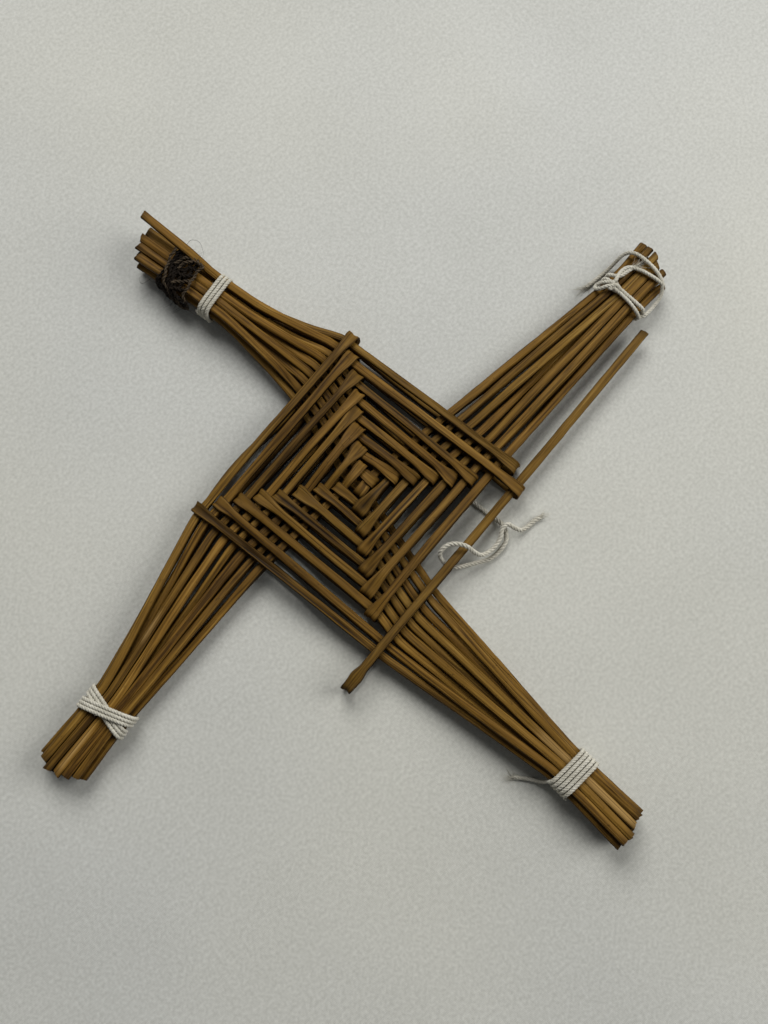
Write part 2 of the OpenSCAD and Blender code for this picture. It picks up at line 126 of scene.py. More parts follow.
# soft window light from the top of the picture, a fill from the right, pale room all round
lightSet = dict(
    windowPlace=(0.44, 0.78, 0.95), windowSize=0.9, windowPower=13.6,
    fillPlace=(0.90, -0.55, 0.75), fillSize=0.9, fillPower=9.8,
    roomColor=(0.94, 0.97, 1.0), roomStrength=0.1,
)
for lamp in ("window", "fill"):
    bpy.ops.object.light_add(type="AREA", location=lightSet[lamp + "Place"])
    light = bpy.context.object
    light.data.shape = "DISK"
    light.data.size = lightSet[lamp + "Size"]
    light.data.energy = lightSet[lamp + "Power"]
    light.rotation_euler = (-Vector(lightSet[lamp + "Place"])).to_track_quat("-Z", "Y").to_euler()
room = bpy.data.worlds.new("room")
room.use_nodes = True
room.node_tree.nodes["Background"].inputs["Color"].default_value = (*lightSet["roomColor"], 1)
room.node_tree.nodes["Background"].inputs["Strength"].default_value = lightSet["roomStrength"]
scene.world = room
print("camera and light set")


# shader sockets that can stand in a Python expression
class Shade:
    def __init__(self, tree, socket=None):
        self.tree = tree
        self.socket = socket

    def node(self, kind, settings=None, values=None, out=0):
        made = self.tree.nodes.new("ShaderNode" + kind)
        for key, value in (settings or {}).items():
            if key == "stops":
                ramp = made.color_ramp
                while len(ramp.elements) < len(value):
                    ramp.elements.new(0.5)
                for element, (place, color) in zip(ramp.elements, value):
                    element.position = place
                    element.color = (*color, 1)
            else:
                setattr(made, key, value)
        for key, value in (values or {}).items():
            if isinstance(value, Shade):
                self.tree.links.new(value.socket, made.inputs[key])
            else:
                made.inputs[key].default_value = value
        return Shade(self.tree, made.outputs[out])

    def maths(self, operation, first, second=0.0):
        return self.node("Math", {"operation": operation}, {0: first, 1: second})

    def __add__(self, other):
        return self.maths("ADD", self, other)

    def __sub__(self, other):
        return self.maths("SUBTRACT", self, other)

    def __rsub__(self, other):
        return self.maths("SUBTRACT", other, self)

    def __mul__(self, other):
        return self.maths("MULTIPLY", self, other)


def srgb(red, green, blue):
    shares = [v / 255 for v in (red, green, blue)]
    return tuple(v / 12.92 if v <= 0.04045 else ((v + 0.055) / 1.055) ** 2.4 for v in shares)


def newFinish(name, **fixed):
    mat = bpy.data.materials.new(name)
    mat.use_nodes = True
    for key, value in fixed.items():
        mat.node_tree.nodes["Principled BSDF"].inputs[key.replace("_", " ")].default_value = value
    return mat, Shade(mat.node_tree)


# roughness and bump come from the same noises as the colour
def endFinish(mat, sh, made, shades, color):
    strength, deep = made["bump"]
    height = weighted(shades, made["heightShares"])
    bump = sh.node("Bump", values={"Strength": strength, "Distance": deep, "Height": height})
    rough = weighted(shades, made["roughShares"]) + made["rough"]
    for key, shade in (("Base Color", color), ("Roughness", rough), ("Normal", bump)):
        sh.tree.links.new(shade.socket, mat.node_tree.nodes["Principled BSDF"].inputs[key])
    return mat


def colorMix(sh, amount, first, second, way="MIX"):
    return sh.node(
        "Mix",
        {"data_type": "RGBA", "blend_type": way},
        {0: amount, 6: first, 7: second},
        out=2,
    )


def grainNoise(sh, place, scale, detail, rough=0.55):
    return sh.node(
        "TexNoise",
        {"noise_dimensions": "3D"},
        {"Vector": place, "Scale": scale, "Detail": detail, "Roughness": rough},
    )


def ramp(sh, amount, stops):
    return sh.node("ValToRGB", {"stops": stops}, {0: amount})


def ranged(sh, amount, limits):
    return sh.node("MapRange", values=dict(enumerate((amount, *limits))))


def weighted(shades, shares):
    total = None
    for name, share in shares.items():
        part = shades[name] * share
        total = total + part if total else part
    return total


# dried rush: lengthwise streaks and creases, patches, dark flecks, scuffed at the bends, and painted shade
# from the mesh
rushFinish = dict(
    dark=srgb(58, 38, 5), middle=srgb(103, 75, 26), light=srgb(123, 92, 35), pale=srgb(152, 120, 58),
    bend=srgb(112, 83, 32), fleck=srgb(22, 11, 1), bare=srgb(172, 138, 84),
    warm=(1.05, 0.99, 0.9, 1), cool=(0.97, 0.98, 0.95, 1),
    rampAt=dict(dark=0.22, middle=0.42, light=0.62, pale=0.85),
    aroundMm=8.0, alongMm=265.0, toneShift=71.0, hueTurns=7.31,
    # scale across and along and detail of each noise, and its roughness where that is not the usual one
    grains=dict(
        fibre=(2.6, 0.07, 4.0, 0.6), streak=(1.15, 0.022, 3.0), broad=(0.4, 0.03, 2.0),
        patch=(0.2, 0.10, 3.0), fleck=(1.6, 0.7, 2.0), crease=(0.75, 0.013, 1.0),
    ),
    colorShares=dict(streak=0.85, fibre=1.0, broad=0.2, patch=0.2, tone=0.26),
    colorLess=0.78,
    heightShares=dict(streak=0.8, fibre=0.5, patch=0.2, crease=-0.5),
    creaseRange=(0.0, 0.03, 0.75, 0.0),
    fleckRange=(0.66, 0.76, 0.0, 0.55),
    scuff=0.5, bareFibre=1.1, bareLeast=0.1,
    bump=(0.8, 0.0003), rough=0.72,
    roughShares=dict(streak=-0.26, bend=0.12),
)


def makeRushSkin():
    made = rushFinish
    mat, sh = newFinish("rushSkin", Specular_IOR_Level=0.14)
    uv = sh.node("UVMap", {"uv_map": "rushUv"})
    around = sh.node("SeparateXYZ", values={0: uv}) * made["aroundMm"]
    along = sh.node("SeparateXYZ", values={0: uv}, out=1) * made["alongMm"]
    shades = {}
    for name in ("Tone", "Bend", "Dark", "Bare"):
        shades[name.lower()] = sh.node("Attribute", {"attribute_name": "rush" + name}, out=2)
    shift = shades["tone"] * made["toneShift"]
    for name, (across, lengthwise, *grain) in made["grains"].items():
        values = {0: around * across + shift, 1: along * lengthwise, 2: shift}
        shades[name] = grainNoise(sh, sh.node("CombineXYZ", values=values), 1.0, *grain)
    offCrease = sh.maths("ABSOLUTE", shades["crease"] - 0.5)
    shades["crease"] = ranged(sh, offCrease, made["creaseRange"])
    stops = [(place, made[name]) for name, place in made["rampAt"].items()]
    color = ramp(sh, weighted(shades, made["colorShares"]) - made["colorLess"], stops)
    hue = sh.maths("FRACT", shades["tone"] * made["hueTurns"])
    color = colorMix(sh, 1.0, color, colorMix(sh, hue, made["cool"], made["warm"]), "MULTIPLY")
    layers = (
        (shades["bend"] * made["scuff"] * shades["streak"], "bend"),
        (ranged(sh, shades["fleck"], made["fleckRange"]), "fleck"),
        (shades["bare"] * (shades["fibre"] * made["bareFibre"] + made["bareLeast"]), "bare"),
        (shades["crease"], "dark"),
        # painted shade and dark splits from the mesh, in the fleck colour
        (shades["dark"], "fleck"),
    )
    for amount, name in layers:
        color = colorMix(sh, amount, color, (*made[name], 1))
    return endFinish(mat, sh, made, shades, color)


# cut ends: a dark hollow with pale spongy pith
pithFinish = dict(
    grain=(1900.0, 3.0),
    stops=((0.35, srgb(44, 30, 15)), (0.58, srgb(92, 68, 38)), (0.72, srgb(150, 122, 80))),
    bump=(0.8, 0.0003), heightShares=dict(spongy=1.0), rough=0.75, roughShares=dict(spongy=0.2),
)


def makeRushPith():
    mat, sh = newFinish("rushPith", Specular_IOR_Level=0.1)
    spongy = grainNoise(sh, sh.node("TexCoord", out=3), *pithFinish["grain"])
    return endFinish(mat, sh, pithFinish, dict(spongy=spongy), ramp(sh, spongy, pithFinish["stops"]))


# soft fibres: cotton twine and dark wool share the same build
fibreFinish = dict(
    fuzz=(4.0, 0.65), patchScale=0.12, patchDetail=2.0,
    colorShares=dict(fuzz=0.6, patch=0.4), rampAt=(0.3, 0.68),
    bump=(0.7, 0.00015), heightShares=dict(fuzz=1.0), rough=0.74, roughShares=dict(fuzz=0.2),
)


def makeFibreFinish(name, low, high, scale, sheen):
    made = fibreFinish
    mat, sh = newFinish(name, Specular_IOR_Level=0.15, Sheen_Weight=sheen, Sheen_Roughness=0.5)
    place = sh.node("TexCoord", out=3)
    shades = dict(
        fuzz=grainNoise(sh, place, scale, *made["fuzz"]),
        patch=grainNoise(sh, place, scale * made["patchScale"], made["patchDetail"]),
    )
    color = ramp(sh, weighted(shades, made["colorShares"]), list(zip(made["rampAt"], (low, high))))
    return endFinish(mat, sh, made, shades, color)


# the table: unbleached cloth
clothFinish = dict(
    threads=900.0, threadWarp=1.2,
    grains=dict(thread=(950.0, 3.0), stain=(9.0, 3.0), warmth=(5.0, 2.0), crease=(3.2, 2.0)),
    colorShares=dict(stain=0.25, thread=0.45, across=0.15, down=0.15),
    stops=((0.3, srgb(173, 173, 166)), (0.7, srgb(212, 212, 206))),
    warmRange=(0.4, 0.6, 0.0, 1.0), warm=(0.995, 0.985, 0.95, 1),
    heightShares=dict(across=0.2, down=0.2, thread=0.4),
    bump=(0.25, 0.0002), rough=0.85, roughShares=dict(crease=0.1),
)


def makeTableCloth():
    made = clothFinish
    mat, sh = newFinish("tableCloth", Specular_IOR_Level=0.1)
    place = sh.node("TexCoord", out=3)
    shades = {name: grainNoise(sh, place, *grain) for name, grain in made["grains"].items()}
    for name, way in (("across", "X"), ("down", "Y")):
        values = {0: place, 1: made["threads"], 2: made["threadWarp"]}
        shades[name] = sh.node("TexWave", {"bands_direction": way}, values)
    color = ramp(sh, weighted(shades, made["colorShares"]), made["stops"])
    warmed = ranged(sh, shades["warmth"], made["warmRange"])
    color = colorMix(sh, warmed, color, colorMix(sh, 1.0, color, made["warm"], "MULTIPLY"))
    return endFinish(mat, sh, made, shades, color)


rushSkin = makeRushSkin()
rushPith = makeRushPith()
cottonTwine = makeFibreFinish("cottonTwine", srgb(162, 157, 140), srgb(212, 208, 194), 1500.0, 0.15)
# one dark wool in two copies: the strands underneath painted darker still as shade, those on top painted
# lighter as lit
darkShadedWool = makeFibreFinish("darkShadedWool", srgb(1, 0, 0), srgb(34, 26, 17), 1100.0, 0.0)
paintedLitWool = makeFibreFinish("paintedLitWool", srgb(9, 6, 3), srgb(92, 79, 62), 900.0, 0.0)
tableCloth = makeTableCloth()
print("finishes made")

# table top, not part of the cross
tableSet = dict(size=8, place=(0, 0, -0.0001))
clearPick()
bpy.ops.mesh.primitive_plane_add(size=tableSet["size"], location=tableSet["place"])
table = bpy.context.object
table.name = "tableTop"
applyPlace(table)
table.data.materials.append(tableCloth)

# the weave, in millimetres: arms right, top, left, bottom in the order they are woven
right, top, left, bottom = range(4)
armNames = ["right", "top", "left", "bottom"]
weave = dict(
    turn=12.0, rushWidth=3.0, rushThick=2.0, foldThick=0.9, airGap=0.12, travelGap=0.3,
    slack=(0.5, 0.05, 0.05, 0.3), laneStart=(0.5, 0.0, 0.5, 0.0), count=(7, 8, 8, 8),
    looseOffset=8.5, holdingRush=7, lastFoldSlack=2.8, leftFoldSlack=0.8, exitLead=2.5,
    exitPitch=(3.6, 3.05, 3.7, 3.2), coreExitStep=(3.35, 2.95, 3.35, 2.75),
    bendOut={(1, 7): 1.8, (1, 8): 3.0, (3, 8): 1.9},
    stray=1.7, strayStep=(7.7, 3.1), strayFrom=(1.3, 0.4, 0.6),
    bow={(2, 8, -1): -1.5, (2, 8, 1): -0.3}, bowSteps=(0.2, 0.4, 0.6, 0.8),
    duck=1.67, hold=2.1, foldLead=2.4, nearLead=1.2, foldSteps=16,
    foldGapShare=1.8, layerGapShare=1.5, slotShare=0.83, tiedGap=0.1,
)
arms = dict(
    tieReach=(105.0, 73.0, 101.0, 106.0), tieSide=(-26.0, -18.0, -12.0, -26.0),
    tieLean=(-4.0, 4.0, 2.0, -5.0), tieMiddle=(0.0, -0.25, 0.0, -0.25), tieWide=(2.5, 2.0, 2.5, 2.0),
    layerCount=(3, 4, 3, 4), rowHeights=(0.5, 1.5), tieLift=0.7, tieHalf=5.0, tipFan=1.12,
    coreSlot=-2.25, coreTips=(27.0, 22.0), longRush=7, longRise=2.8, longFan=2.15,
    longFans=((5.0, 1.46, 0.0), (9.0, 1.56, 0.6), (14.0, 1.68, 1.0)),
    drawIn=(0.0, 0.75, 0.1, 0.0), drawSteps=(0.3, 0.75, 1.0), drawEase=0.1, tuckedRush=8, tuckedFan=0.85,
    eightFront=((-2.5, 0), (-2, 1), (-1, 1), (-0.5, 0), (0, 1), (1, 1), (1.5, 0), (2, 1)),
    eightBack=((-2, -1), (-1.5, 0), (-1, -1), (0, -1), (0.5, 0), (1, -1), (2, -1), (2.5, 0)),
    sevenFront=((-2.5, 0), (-1.5, 1), (-0.5, 1), (-0.5, 0), (0.5, 1), (1.5, 1), (2.5, 0)),
    sevenBack=((-1.5, -1), (-1.5, 0), (-0.5, -1), (0.5, -1), (0.5, 0), (1.5, 0), (1.5, -1)),
    tips=(
        ((14.5, 14, 14, 13, 12, 11, 9), (13, 14, 13.5, 12, 11, 10, 9.5)),
        ((28, 29, 30, 29, 31, 30, 34, 31), (28, 29, 29, 30, 30, 31, 31, 32)),
        ((20, 20.5, 22, 22.5, 23.5, 24, 23, 22), (19.5, 21, 21, 23, 22, 24, 23, 21)),
        ((22, 22.5, 23, 23.5, 24, 25, 24, 24), (22, 22, 23, 24, 23, 24.5, 24, 23)),
    ),
)
rushHalfW = weave["rushWidth"] / 2
rushHalfT = weave["rushThick"] / 2
zLow = (weave["rushThick"] + weave["airGap"]) / 2
zHigh = zLow + weave["rushThick"] + weave["airGap"]
midZ = zHigh + rushHalfT
foldGap = weave["foldGapShare"] * weave["airGap"]
foldRun = rushHalfW + foldGap + weave["foldThick"] / 2
foldRise = zLow + rushHalfT + 2 * weave["airGap"] + weave["foldThick"] / 2
lanePitch = [weave["rushWidth"] + weave["foldThick"] + foldGap + s for s in weave["slack"]]
slotWide = weave["slotShare"] * weave["rushWidth"]
tiedHalfW = (slotWide - weave["tiedGap"]) / 2
layerZ = weave["rushThick"] + weave["layerGapShare"] * weave["airGap"]
lastRight = weave["count"][right]


def lane(a, k):
    return lanePitch[a] * (k - weave["laneStart"][a])


def bendLane(a, k):
    return lane(a, k) + weave["bendOut"].get((a, k), 0.0)


# the rushes of an arm are drawn together where they leave the weave
def exitLane(a, k):
    last = weave["count"][a]
    return lane(a, last) - weave["exitPitch"][a] * (last - k)


def heldLane(a, k):
    return exitLane(a, k) if a == bottom and k >= lastRight else lane(a, k)


looseLane = lane(right, lastRight) + weave["looseOffset"]


# place of a rush in its tied bundle: slot across, layer up
def bundlePlace(a, k, side):
    if a in (top, bottom):
        return (k - (weave["count"][a] + 1) / 2) / 2, side * arms["rowHeights"][k % 2]
    rows = ("sevenFront", "sevenBack") if a == right else ("eightFront", "eightBack")
    return arms[rows[0 if side > 0 else 1]][k - 1]


# a deeper bundle stands higher, so that all clear the table alike
def tieLift(a):
    return arms["tieLift"] + (arms["layerCount"][a] - min(arms["layerCount"])) / 2 * layerZ


def bundleTop(a):
    return (arms["layerCount"][a] - 1) / 2 * layerZ + rushHalfT


def onArm(a, point):
    turn = radians(weave["turn"] + 90 * a)
    x, y, z = point
    return Vector((
        (x * cos(turn) - y * sin(turn)) * mm,
        (x * sin(turn) + y * cos(turn)) * mm,
        (z + midZ) * mm,
    ))


def tied(a, along, side):
    lean = radians(arms["tieLean"][a])
    return (
        arms["tieReach"][a] + along * cos(lean) - side * sin(lean),
        arms["tieSide"][a] + along * sin(lean) + side * cos(lean),
    )


def farthestWrapped(a, k):
    if a == right:
        return lane(bottom, k - 1)
    if a == top and k == weave["holdingRush"]:
        return looseLane
    if a == top and k > weave["holdingRush"]:
        return lane(right, lastRight) + weave["lastFoldSlack"]
    slack = weave["leftFoldSlack"] if a == left and k == weave["count"][left] else 0.0
    return lane((a + 3) % 4, k) + slack


def nearestWrapped(a):
    before = (a + 3) % 4
    return 0.0 if weave["laneStart"][before] == 0 else lane(before, 1)


def firstCrossing(a, k):
    if a == bottom and k >= lastRight:
        return looseLane
    if a == bottom:
        return bendLane(right, k + 1)
    return bendLane((a + 1) % 4, k)


def exitReach(a):
    after = (a + 1) % 4
    reach = looseLane if a == bottom else bendLane(after, weave["count"][after])
    return reach + weave["exitLead"]


# lines of string: even steps, frames carried along, plies twisted round them
def evenSteps(points, step):
    total = lengthOf(points)
    count = max(2, round(total / step))
    out, i, run = [points[0]], 0, 0.0
    for n in range(1, count):
        want = total * n / count
        while run + (points[i + 1] - points[i]).length < want:
            run += (points[i + 1] - points[i]).length
            i += 1
        share = (want - run) / (points[i + 1] - points[i]).length
        out.append(points[i].lerp(points[i + 1], share))
    return out + [points[-1]]


def softened(line, passes):
    for _ in range(passes):
        line = [line[0]] + [
            (line[i - 1] + 2 * line[i] + line[i + 1]) / 4 for i in range(1, len(line) - 1)
        ] + [line[-1]]
    return line


def lengthOf(points):
    return sum((q - p).length for p, q in zip(points, points[1:]))


def plies(points, count, offset, pitch):
    last = len(points) - 1
    ahead = [(points[min(i + 1, last)] - points[max(i - 1, 0)]).normalized() for i in range(last + 1)]
    across = ahead[0].orthogonal().normalized()
    lines = [[] for _ in range(count)]
    run = 0.0
    for i, p in enumerate(points):
        across = (across - ahead[i] * across.dot(ahead[i])).normalized()
        up = ahead[i].cross(across)
        run += (p - points[i - 1]).length if i else 0.0
        for j in range(count):
            f = tau * (run / (pitch * mm) + j / count)
            lines[j].append(p + (across * cos(f) + up * sin(f)) * offset * mm)
    return lines


def twisted(lines, made):
    parts = [plies(line, made["plyCount"], made["offset"], made["pitch"]) for line in lines]
    return [ply for part in parts for ply in part]


hairSet = dict(steps=5, shortest=0.4, lowest=0.06, taper=0.75, frayRun=8, frayAim=6)


def polyLines(name, lines, tapered=False):
    curve = bpy.data.curves.new(name, "CURVE")
    curve.dimensions = "3D"
    for line in lines:
        spline = curve.splines.new("POLY")
        spline.points.add(len(line) - 1)
        for i, (point, place) in enumerate(zip(spline.points, line)):
            point.co = (*place, 1)
            point.radius = 1 - hairSet["taper"] * i / (len(line) - 1) if tapered else 1
    piece = bpy.data.objects.new(name, curve)
    scene.collection.objects.link(piece)
    return piece


def strands(name, lines, radius, finish, roundness=1, tapered=False):
    piece = polyLines(name, lines, tapered)
    piece.data.bevel_depth = radius * mm
    piece.data.bevel_resolution = roundness
    piece.data.use_fill_caps = True
    pick(piece)
    bpy.ops.object.convert(target="MESH")
    piece = bpy.context.object
    piece.data.materials.clear()
    piece.data.materials.append(finish)
    bpy.ops.object.shade_smooth()
    return piece


# fine hairs that curl away from a line of string
def hairs(rng, places, longest, spread):
    lines = []
    for place, way in places:
        length = longest * rng.uniform(hairSet["shortest"], 1.0) * mm
        curl = Vector([rng.uniform(-1, 1) for _ in range(3)]) * spread
        line = []
        for i in range(hairSet["steps"] + 1):
            t = i / hairSet["steps"]
            at = place + way * length * t + curl * length * t * t
            at.z = max(at.z, hairSet["lowest"] * mm)
            line.append(at)
        lines.append(line)
    return lines


def randomWay(rng):
    way = Vector((rng.gauss(0, 1), rng.gauss(0, 1), rng.gauss(0, 1)))
    return way.normalized()


# where hairs start: all along a line, or at its far end and pointing on
def fuzzPlaces(rng, line, count):
    return [(line[rng.randrange(len(line))], randomWay(rng)) for _ in range(count)]


def frayPlaces(rng, line, made):
    ahead = (line[-1] - line[-hairSet["frayAim"]]).normalized()
    places = []
    for _ in range(made["frayCount"]):
        place = line[-1 - rng.randrange(hairSet["frayRun"])]
        places.append((place, (ahead + randomWay(rng) * made["fraySpread"]).normalized()))
    return places


# the hanging string: out below the loose rush, a loop round it and a tail on the table
stringSet = dict(
    diameter=1.4, ply=0.40, offset=0.38, pitch=3.8, plyCount=3, step=0.3, between=8,
    seed=5, frayCount=26, fraySpread=0.55, frayHair=(4.0, 0.5), fuzzCount=60, fuzzHair=(1.4, 0.6), hair=0.07,
    points=(
        (20, 9.9, 0.17), (20, 7.5, 0.17), (20, 4, 0.17), (20, 0, 0.19), (20.2, -2.5, 0.28),
        (20, -5, 0.45), (18.5, -7, 0.45), (16.5, -8.5, 0.35), (13, -8.8, 0.28), (9.5, -8.1, 0.28),
        (6, -6.1, 0.45), (2.8, -3.9, 0.85), (0.2, -2.1, 1.2), (-1.2, 0.1, 1.28), (-1.4, 2.5, 1.5),
        (-0.6, 4.3, 1.9), (1.2, 4.7, 2.2), (3.4, 3.9, 2.36), (5.2, 1.9, 2.42), (6.3, -0.5, 2.36),
        (6.8, -3.1, 1.8), (7.8, -5.3, 1.15), (10.2, -6.5, 0.86), (13, -6.9, 0.78), (16, -6.5, 0.86),
        (18.6, -5.1, 1.05), (20.6, -5.5, 1.1), (21.4, -7.9, 0.75), (22.6, -9.9, 0.35),
        (25, -10.7, 0.18), (27.5, -11.1, 0.17), (30, -12, 0.17),
    ),
)


def throughPoints(points, between):
    # a smooth line through given points
    out = []
    for i in range(len(points) - 1):
        b, c = points[i], points[i + 1]
        out1 = (c - points[max(i - 1, 0)]) / 2
        in2 = (points[min(i + 2, len(points) - 1)] - b) / 2
        for j in range(between):
            t = j / between
            out.append(
                b * (1 + 2 * t) * (1 - t) ** 2 + out1 * t * (1 - t) ** 2
                + c * t * t * (3 - 2 * t) + in2 * t * t * (t - 1)
            )
    return out + [points[-1]]


def makeString():
    made = stringSet
    stops = [
        onArm(right, (x, y - looseLane, (share - 1) * midZ)) for x, y, share in made["points"]
    ]
    line = evenSteps(throughPoints(stops, made["between"]), made["step"] * mm)
    piece = strands("hangingString", twisted([line], made), made["ply"], cottonTwine)
    setOn(piece, "cross", "twine", "hanging_string")
    rng = random.Random(made["seed"])
    fray = frayPlaces(rng, line, made)
    fuzz = fuzzPlaces(rng, line, made["fuzzCount"])
    loose = hairs(rng, fray, *made["frayHair"]) + hairs(rng, fuzz, *made["fuzzHair"])
    frayed = strands("stringFray", loose, made["hair"], cottonTwine, 0, True)
    setOn(frayed, "cross", "twine")
    lengthOf(line)
    print("string length", round(lengthOf(line) * 1000, 1), "mm")


makeString()


# stops along a rush, in the arm's frame
def bundleStops(a, y, here, tip, isLong):
    stops = []
    goalFan = arms["longFans"][0][1] if isLong else 1.0
    goal = tied(a, -arms["tieHalf"], -here[0] * slotWide * goalFan)
    for t in arms["drawSteps"]:
        drawn = blendTo(t, eased(t), arms["drawEase"]) + arms["drawIn"][a] * t * (1 - t)
        stops.append((
            blendTo(exitReach(a), goal[0], t),
            blendTo(y, goal[1], drawn),
            tieLift(a) * eased(t) + here[1] * layerZ,
        ))
    if isLong:
        fans = [*arms["longFans"], (tip, arms["longFan"], 1.0)]
    else:
        isTucked = a == top and here == bundlePlace(top, arms["tuckedRush"], 1)
        tipFan = arms["tuckedFan"] if isTucked else arms["tipFan"]
        fans = [(arms["tieHalf"], 1.0, 0.0), (tip, tipFan, 0.0)]
    for along, fan, rise in fans:
        p = tied(a, along, -here[0] * slotWide * fan)
        stops.append((p[0], p[1], tieLift(a) + here[1] * layerZ + rise * arms["longRise"]))
    return stops


# bends stray a little from their lanes, as in a weave made by hand
def strayed(a, k):
    x, y, z = weave["strayFrom"]
    perArm, perRush = weave["strayStep"]
    return weave["stray"] * noise.noise(Vector((perArm * a + x, perRush * k + y, z)))


def wovenHalf(a, k, side):
    far = -farthestWrapped(a, k)
    near = -nearestWrapped(a)
    deep = near - far > weave["rushWidth"]
    past = near + weave["nearLead"]
    ducked = firstCrossing(a, k) - weave["duck"]

    def sideAt(x):
        return -blendTo(bendLane(a, k) + strayed(a, k), heldLane(a, k), (x - far) / (ducked - far))

    start = far + weave["foldLead" if deep else "nearLead"]
    stops = [(start, sideAt(start), side * zHigh)]
    if deep:
        stops.append((past, sideAt(past), side * zHigh))
    bow = weave["bow"].get((a, k, side), 0.0)
    for t in weave["bowSteps"] if bow else ():
        x = blendTo(past, ducked, t)
        stops.append((x, sideAt(x) + bow * 4 * t * (1 - t), side * blendTo(zHigh, zLow, t)))
    held = firstCrossing(a, k) + weave["hold"]
    for x, laneY in ((ducked, heldLane(a, k)), (held, heldLane(a, k)), (exitReach(a), exitLane(a, k))):
        stops.append((x, -laneY, side * zLow))
    tip = arms["tips"][a][0 if side > 0 else 1][k - 1]
    isLong = a == top and k == arms["longRush"] and side > 0
    return stops + bundleStops(a, -exitLane(a, k), bundlePlace(a, k, side), tip, isLong)


def foldStops(x, y, run, rise):
    stops = []
    for i in range(weave["foldSteps"] + 1):
        f = radians(-90 + 180 * i / weave["foldSteps"])
        stops.append((
            x - run * sqrt(max(cos(f), 0)),
            y,
            rise * copysign(sqrt(abs(sin(f))), sin(f)),
        ))
    return stops


# even steps along a line of stops, corners eased, both ends kept
lineSet = dict(
    step=0.9, passes=10, sway=0.4, swayRun=0.022, swayFull=30.0,
    swayStep=3.7, swayLayer=0.5, swayApart=0.3,
)


def softLine(stops):
    points = [Vector(s) for s in stops]
    line = []
    for p, q in zip(points, points[1:]):
        cuts = max(1, round((q - p).length / lineSet["step"]))
        line += [p.lerp(q, i / cuts) for i in range(cuts)]
    return softened(line + [points[-1]], lineSet["passes"])


def swayed(line, seed):
    # small sideways bends, none at the fold end of a half
    out = []
    for i, p in enumerate(line):
        s = i * lineSet["step"]
        place = Vector((s * lineSet["swayRun"], seed * lineSet["swayStep"], lineSet["swayLayer"]))
        sway = noise.noise(place) * lineSet["sway"] * eased(s / lineSet["swayFull"])
        out.append(p + Vector((0, sway, 0)))
    return out


# a straight rush of unit length, modelled once: a tube with more rings in the middle and hollow ends
stockSet = dict(
    sides=24, cuts=95, bendCuts=4, bendZone=(0.40, 0.60), tiny=1e-4,
    wallShare=0.3, hollowDeep=0.011, hollowInset=0.25, insideShare=0.95, smoothAngle=55,
)


def makeRushStock():
    clearPick()
    bpy.ops.mesh.primitive_cylinder_add(
        vertices=stockSet["sides"], radius=1, depth=1,
        location=(0.5, 0, 0), rotation=(0, pi / 2, 0),
    )
    stock = bpy.context.object
    stock.name = "rushStock"
    applyPlace(stock)
    tiny = stockSet["tiny"]

    def spanOf(edge):
        p, q = (stock.data.vertices[v].co.x for v in edge.vertices)
        return abs(p - q), (p + q) / 2

    def isInBend(edge):
        low, high = stockSet["bendZone"]
        run, middle = spanOf(edge)
        return run > tiny and low < middle < high

    selectOnly(stock, "EDGE", lambda edge: spanOf(edge)[0] > 0.5)
    bpy.ops.mesh.subdivide(number_cuts=stockSet["cuts"])
    selectOnly(stock, "EDGE", isInBend)
    bpy.ops.mesh.subdivide(number_cuts=stockSet["bendCuts"])
    for end, way in ((0.0, 1.0), (1.0, -1.0)):
        selectOnly(stock, "FACE", lambda f: abs(f.center.x - end) < tiny and abs(f.normal.x) > 0.9)
        bpy.ops.mesh.inset(thickness=stockSet["wallShare"])
        bpy.ops.mesh.extrude_region_move(
            TRANSFORM_OT_translate={"value": (way * stockSet["hollowDeep"], 0, 0)}
        )
        bpy.ops.mesh.inset(thickness=stockSet["hollowInset"])
    bpy.ops.object.mode_set(mode="OBJECT")
    stock.data.materials.append(rushSkin)
    stock.data.materials.append(rushPith)
    layUv(stock)
    pick(stock)
    bpy.ops.object.shade_smooth_by_angle(angle=radians(stockSet["smoothAngle"]))
    return stock


def selectOnly(piece, kind, wanted):
    # leaves edit mode on, with just the wanted edges or faces selected
    pick(piece)
    bpy.ops.object.mode_set(mode="EDIT")
    bpy.ops.mesh.select_mode(type=kind)
    bpy.ops.mesh.select_all(action="DESELECT")
    bpy.ops.object.mode_set(mode="OBJECT")
    for part in piece.data.edges if kind == "EDGE" else piece.data.polygons:
        part.select = wanted(part)
    bpy.ops.object.mode_set(mode="EDIT")


# u runs round the rush and v along it; the faces inside the cut ends get the pith
def layUv(stock):
    mesh = stock.data
    while mesh.uv_layers:
        mesh.uv_layers.remove(mesh.uv_layers[0])
    uv = mesh.uv_layers.new(name="rushUv")
    for face in mesh.polygons:
        middle = atan2(face.center.z, face.center.y) / tau
        inside = any(hypot(*mesh.vertices[v].co.yz) < stockSet["insideShare"] for v in face.vertices)
        face.material_index = 1 if inside else 0
        for loop, v in zip(face.loop_indices, face.vertices):
            co = mesh.vertices[v].co
            u = atan2(co.z, co.y) / tau
            u += round(middle - u)
            uv.data[loop].uv = (u + 0.5, co.x)


rushStock = makeRushStock()
print("rush stock:", len(rushStock.data.polygons), "faces")


def layAlong(piece, points):
    line = polyLines("line", [points])
    line.data.use_stretch = True
    line.data.use_deform_bounds = True
    modifier = piece.modifiers.new("along", "CURVE")
    modifier.object = line
    modifier.deform_axis = "POS_X"
    applyModifiers(piece)
    drop(line)


